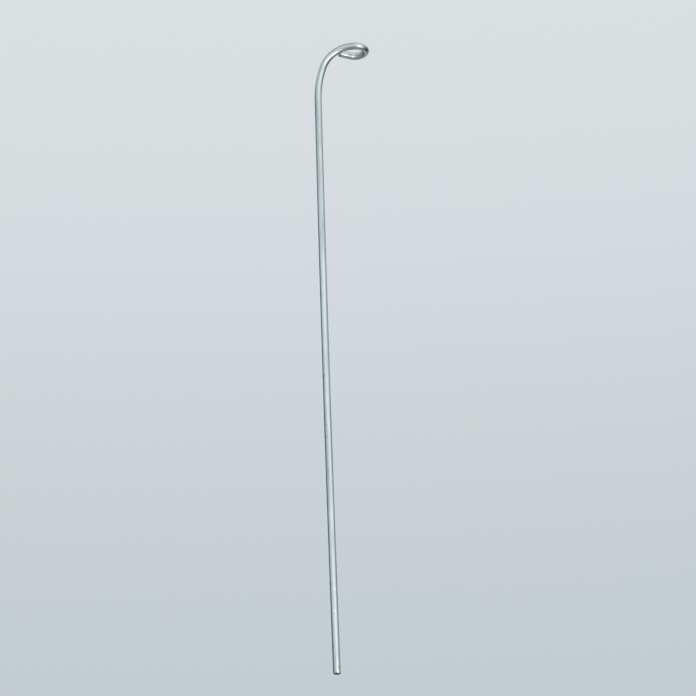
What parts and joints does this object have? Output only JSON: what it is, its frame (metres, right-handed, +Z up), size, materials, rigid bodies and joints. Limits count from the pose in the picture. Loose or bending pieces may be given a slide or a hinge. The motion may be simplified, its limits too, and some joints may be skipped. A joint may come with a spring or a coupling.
{
  "type": "suspension wire with eye",
  "caption": "Straight round steel wire whose top is bent over into a flat eye. It hangs from a ceiling stud through the eye, and a clip slides on its shank.",
  "frame": {"origin": "centre of the eye, in the mid-plane of the wire that forms it", "axes": "+Z up, out of the top of the eye towards the ceiling, with the shank hanging along -Z; +X along the strand where it enters the eye; +Y towards the far side of the eye, where the tail comes back"},
  "size_m": [0.031, 0.0156, 0.375],
  "materials": {
    "galvanised_steel_wire": "bright zinc coating on drawn wire, with faint lines along it"
  },
  "bodies": {
    "root": {"suspension_wire": "galvanised_steel_wire"}
  },
  "joints": []
}
